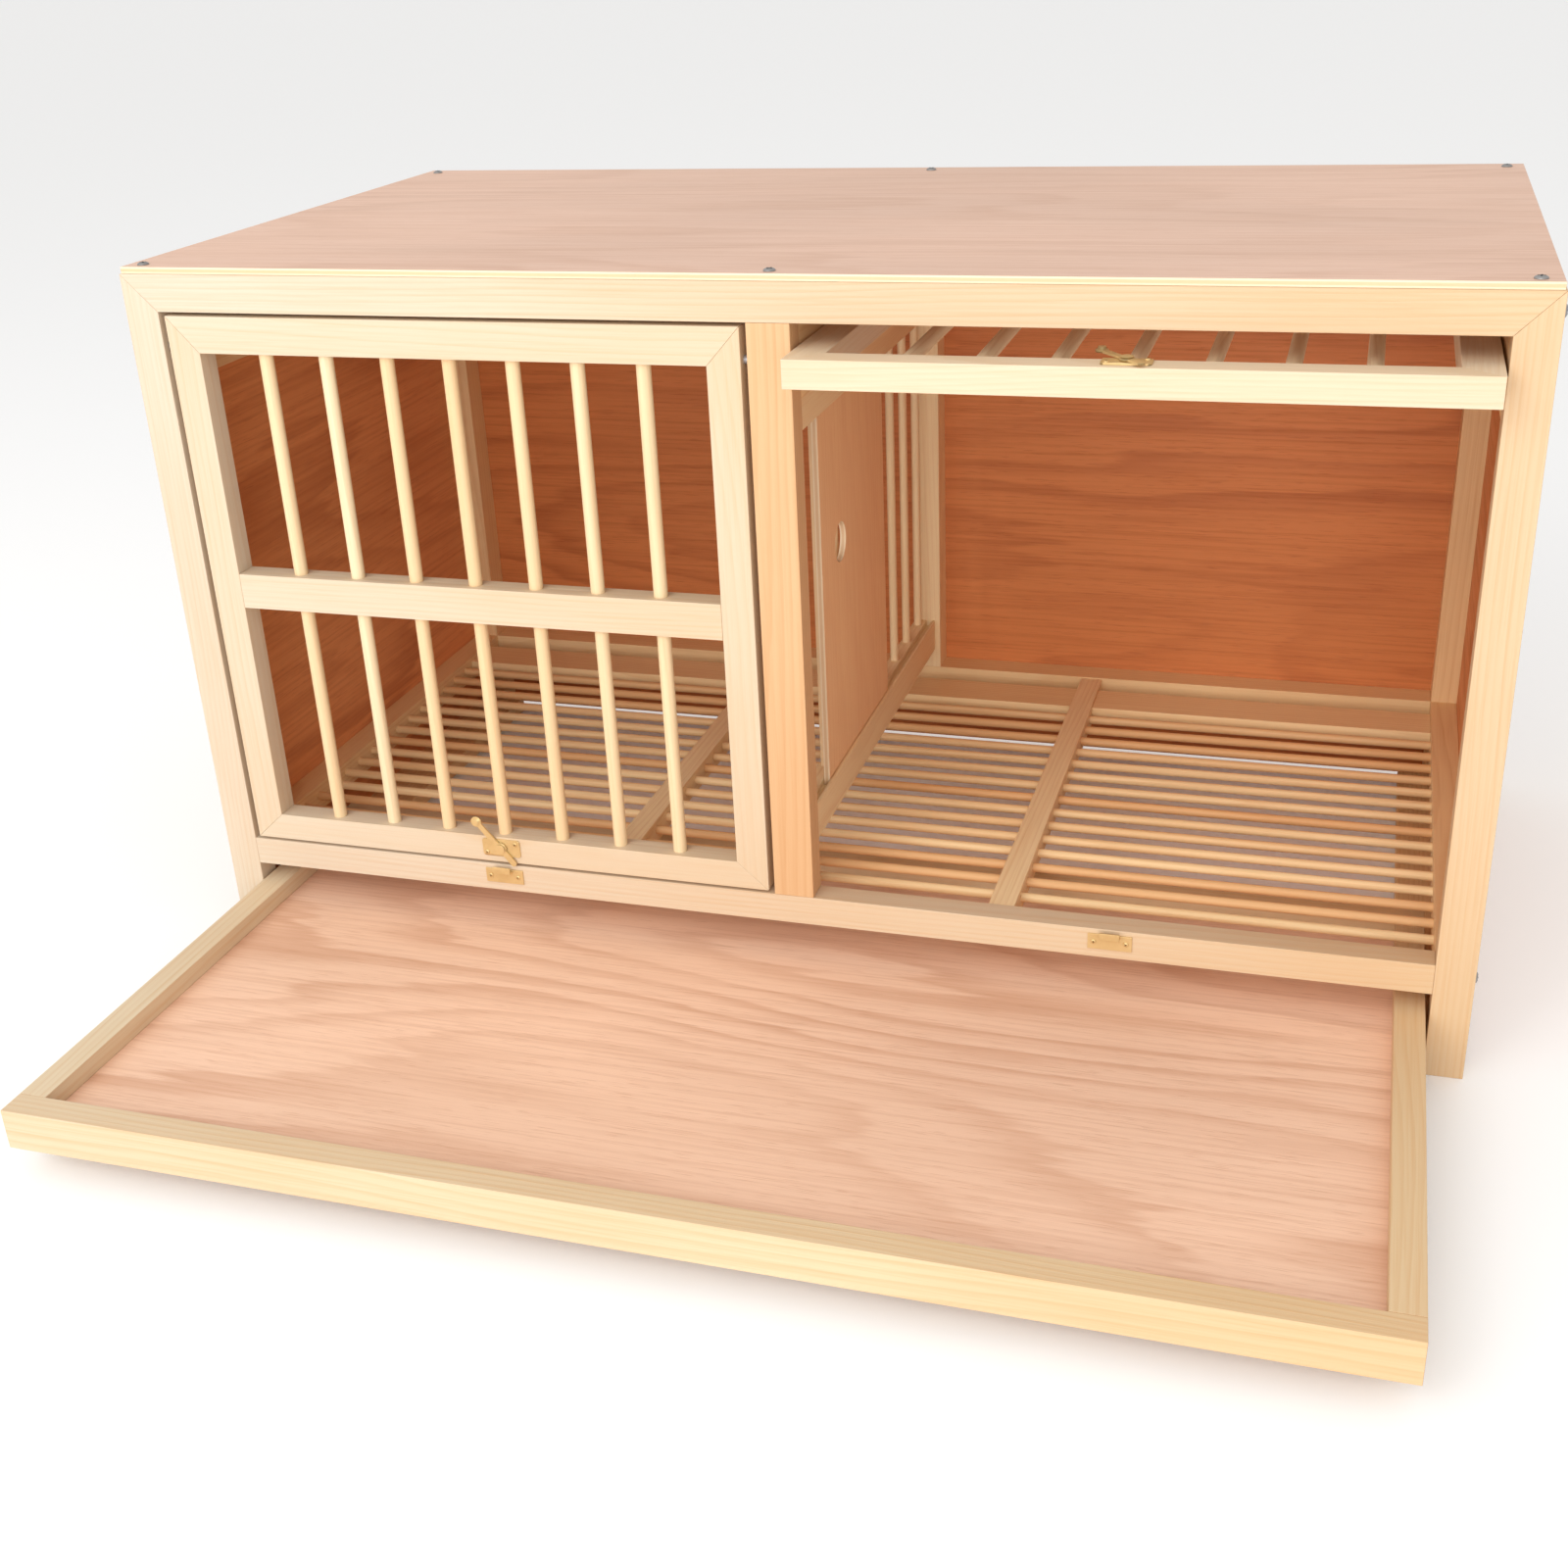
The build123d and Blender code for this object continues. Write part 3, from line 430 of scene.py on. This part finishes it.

# Plywood sheets of the back, the sides and the roof: 4 mm peeled veneer, pinned on. The rooms' faces of
# the sheets are painted shade, darker and reddish brown; their outer faces and the roof are pinkish
# tan, and the sheets' edges pale.
# painted shade: the faces inside the rooms get darker, redder colours than the outer faces
room_shaded_ground = shade(210, 130, 74)
room_shaded_line = shade(154, 74, 34)
side_shaded_ground = shade(228, 156, 102)
side_shaded_line = shade(176, 100, 56)
eased(
    "back_panel", "case",
    plywood("back_panel", "X", "Y", room_shaded_ground, room_shaded_line, figure=0.42, outward=(0, 1, 0)),
    sheet_ease,
)
for side, outward in (("left", (-1, 0, 0)), ("right", (1, 0, 0))):
    node = side + "_side_panel"
    eased(
        node, "case",
        plywood(node, "Y", "X", side_shaded_ground, side_shaded_line, outward=outward),
        sheet_ease,
    )
roof_ground = shade(220, 183, 161)
roof_line = shade(196, 148, 118)
eased(
    "roof_panel", "case",
    plywood("roof_panel", "X", "Z", roof_ground, roof_line, figure=0.3), sheet_ease,
)

# Floor grate: 6 mm dowels 20 mm apart across both rooms, let into two battens, and boards
# along the back. Each dowel has its own tone between cream and tan.
grate_early = shade(250, 220, 170)
grate_late = shade(214, 158, 98)
grate_tan = shade(216, 152, 92)
batten_early = shade(252, 226, 180)
dowel_pitch = 0.020
eased("grate_battens", "case", pine("grate_battens", "Y", batten_early, grate_late))
eased("grate_rear_boards", "case", pine("grate_rear_boards", "X", grate_early, grate_late))
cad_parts["grate_dowels"].material_slots[0].material = pine(
    "grate_dowels", "X", grate_early, grate_late, each=(dowel_pitch, 0.0), tan=grate_tan,
)

# Tray: four grooved pine rails round a plywood floor
tray_early = shade(220, 202, 172)
tray_late = shade(204, 160, 110)
for node, along in (
    ("tray_front_rail", "X"),
    ("tray_rear_rail", "X"),
    ("tray_left_rail", "Y"),
    ("tray_right_rail", "Y"),
):
    eased(node, "tray", pine(node, along, tray_early, tray_late, right_shade=0.8))
tray_ground = shade(238, 198, 170)
tray_line = shade(198, 142, 108)
eased(
    "tray_floor", "tray",
    plywood("tray_floor", "X", "Z", tray_ground, tray_line), sheet_ease,
)

# Doors: stiles and rails of pine lath, mitred at the corners, with seven bars 40 mm apart.
# The left one is upright and the right one lies level at rest. The level door's pine is painted
# lighter, as painted light where its front edge catches more light, and has no painted shade at its
# right end.
door_early = shade(216, 200, 176)
door_late = shade(208, 172, 126)
# painted light: the level door's pine gets a lighter early colour for the light its front edge catches
level_lit_early = shade(226, 206, 178)
bar_pitch = 0.040
for side, upright, early, right_shade_share in (
    ("left", "Z", door_early, 0.6),
    ("right", "Y", level_lit_early, 0.0),
):
    for part, along in (
        ("left_stile", upright),
        ("right_stile", upright),
        ("top_rail", "X"),
        ("middle_rail", "X"),
        ("bottom_rail", "X"),
    ):
        node = f"{side}_door_{part}"
        eased(node, side + "_door", pine(node, along, early, door_late, right_shade=right_shade_share))
    bars = f"{side}_door_bars"
    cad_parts[bars].material_slots[0].material = pine(
        bars, upright, shade(244, 228, 192), door_late, each=(bar_pitch, 0.5), tan=shade(226, 186, 134),
    )

# Brass catches, plates and keepers of dull pale sheet, and pan-head screws: small brass ones
# on the brass, grey steel ones in the case. Every head is domed, with a cross recess painted as dark
# shade.
def metal(name, ground, dull, rough):
    """Metal with a faint uneven film and fine scratches."""
    material = bpy.data.materials.new(name)
    material.use_nodes = True
    tree = material.node_tree
    shader = tree.nodes["Principled BSDF"]
    shader.inputs["Metallic"].default_value = 0.6
    texture = tree.nodes.new("ShaderNodeTexCoord")
    film = spread(tree, cloud(tree, texture.outputs["Object"], 90, 90, 3.0), 0.3, 0.7)
    scratch = cloud(tree, texture.outputs["Object"], 2600, 320, 2.0)
    colour = mixed(tree, calc(tree, "MULTIPLY", film, 0.6), ground, dull)
    tree.links.new(colour, shader.inputs["Base Color"])
    worn = calc(tree, "MULTIPLY_ADD", film, 0.08, rough)
    tree.links.new(calc(tree, "MULTIPLY_ADD", scratch, 0.12, worn), shader.inputs["Roughness"])
    bump = tree.nodes.new("ShaderNodeBump")
    bump.inputs["Strength"].default_value = 0.2
    bump.inputs["Distance"].default_value = 0.00003
    tree.links.new(scratch, bump.inputs["Height"])
    tree.links.new(bump.outputs["Normal"], shader.inputs["Normal"])
    return material


def screws(node, body, material, recess_shade):
    """Screws like a CAD node's, each with a domed head and a cross recess painted as dark shade, that
    stand for it.
    """
    cad_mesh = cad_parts[node].data
    apart = bmesh.new()
    apart.from_mesh(cad_mesh)
    bmesh.ops.remove_doubles(apart, verts=apart.verts, dist=1e-6)
    left = set(apart.verts)
    form = bmesh.new()
    for first in apart.verts:
        if first not in left:
            continue
        left.discard(first)
        group, todo = [], [first]
        while todo:
            corner = todo.pop()
            group.append(corner.co.copy())
            for edge in corner.link_edges:
                other = edge.other_vert(corner)
                if other in left:
                    left.discard(other)
                    todo.append(other)
        low = Vector([min(c[i] for c in group) for i in range(3)])
        high = Vector([max(c[i] for c in group) for i in range(3)])
        axis = max(range(3), key=lambda i: (high - low)[i])
        across = [i for i in range(3) if i != axis]
        middle = (low + high) / 2
        width = max((high - low)[i] for i in across)
        # the head is where the corners lie widest from the screw's middle line
        wide = [c[axis] for c in group if max(abs((c - middle)[i]) for i in across) > 0.49 * width]
        out = 1.0 if sum(wide) / len(wide) > middle[axis] else -1.0
        radius = width / 2
        crown = high[axis] if out > 0 else low[axis]
        tail = low[axis] if out > 0 else high[axis]
        under = min(wide, key=lambda w: out * w)
        tall = abs(crown - under)
        step = Vector([out if i == axis else 0.0 for i in range(3)])
        turned = Vector((0, 0, 1)).rotation_difference(step).to_matrix().to_4x4()
        foot = Vector([under if i == axis else middle[i] for i in range(3)])
        put = Matrix.Translation(foot) @ turned
        deep = abs(under - tail)
        # outline from the shank's end, along the shank, out under the head and over its dome
        outline = [
            (0.0, -deep), (0.42, -deep), (0.42, 0.0), (0.97, 0.0), (1.0, 0.12 * tall),
            (0.98, 0.35 * tall), (0.86, 0.66 * tall), (0.66, 0.88 * tall), (0.42, 0.99 * tall),
            (0.0, tall),
        ]
        sides = 32
        ring_of = []
        for share, height in outline:
            if share == 0.0:
                ring_of.append([form.verts.new(put @ Vector((0, 0, height)))])
            else:
                reach = radius * share
                turns = [2 * pi * k / sides for k in range(sides)]
                ring_of.append([
                    form.verts.new(put @ Vector((reach * cos(t), reach * sin(t), height)))
                    for t in turns
                ])
        for lower, upper in zip(ring_of, ring_of[1:]):
            for k in range(sides):
                m = (k + 1) % sides
                if len(lower) == 1:
                    form.faces.new((lower[0], upper[m], upper[k]))
                elif len(upper) == 1:
                    form.faces.new((lower[k], lower[m], upper[0]))
                else:
                    form.faces.new((lower[k], lower[m], upper[m], upper[k]))
        # two crossed bars of painted shade, level with the crown, stand for the dark hollow of the
        # recess
        spin = random.Random(f"{node}{len(left)}").uniform(0, pi)
        for quarter in (0, pi / 2):
            raised = Matrix.Translation((0, 0, 0.9 * tall))
            spun = Matrix.Rotation(spin + quarter, 4, "Z")
            sized = Matrix.Diagonal((radius * 1.1, radius * 0.24, 0.24 * tall, 1))
            bar = bmesh.ops.create_cube(form, size=1.0, matrix=put @ raised @ spun @ sized)
            for corner in bar["verts"]:
                for face in corner.link_faces:
                    face.material_index = 1
    apart.free()
    bmesh.ops.recalc_face_normals(form, faces=form.faces)
    for face in form.faces:
        face.smooth = face.material_index == 0
    mesh = bpy.data.meshes.new(node + "_domed")
    form.to_mesh(mesh)
    form.free()
    piece = bpy.data.objects.new(node + "_domed", mesh)
    bpy.context.scene.collection.objects.link(piece)
    mesh.materials.append(material)
    mesh.materials.append(recess_shade)
    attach(piece, body)
    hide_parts(node)


brass = metal("brass", shade(228, 200, 144), shade(208, 176, 120), 0.34)
# painted shade: these dark metals colour the crossed bars that stand for the screws' recesses
brass_recess_shade = metal("brass_recess_shade", shade(120, 84, 40), shade(96, 66, 30), 0.5)
steel = metal("screw_steel", shade(158, 156, 154), shade(124, 122, 122), 0.34)
steel_recess_shade = metal("steel_recess_shade", shade(52, 50, 50), shade(40, 38, 38), 0.5)
pin_steel = metal("pin_steel", shade(190, 190, 194), shade(150, 150, 156), 0.28)
brass_ease = 0.0002
for side in ("left", "right"):
    eased(side + "_swivel_catch", side + "_catch", brass, brass_ease)
    eased(side + "_catch_plate", side + "_door", brass, brass_ease)
    eased(side + "_keeper", "case", brass, brass_ease)
    screws(side + "_catch_screws", side + "_door", brass, brass_recess_shade)
    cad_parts[side + "_door_pins"].material_slots[0].material = pin_steel
screws("keeper_screws", "case", brass, brass_recess_shade)
screws("case_screws", "case", steel, steel_recess_shade)
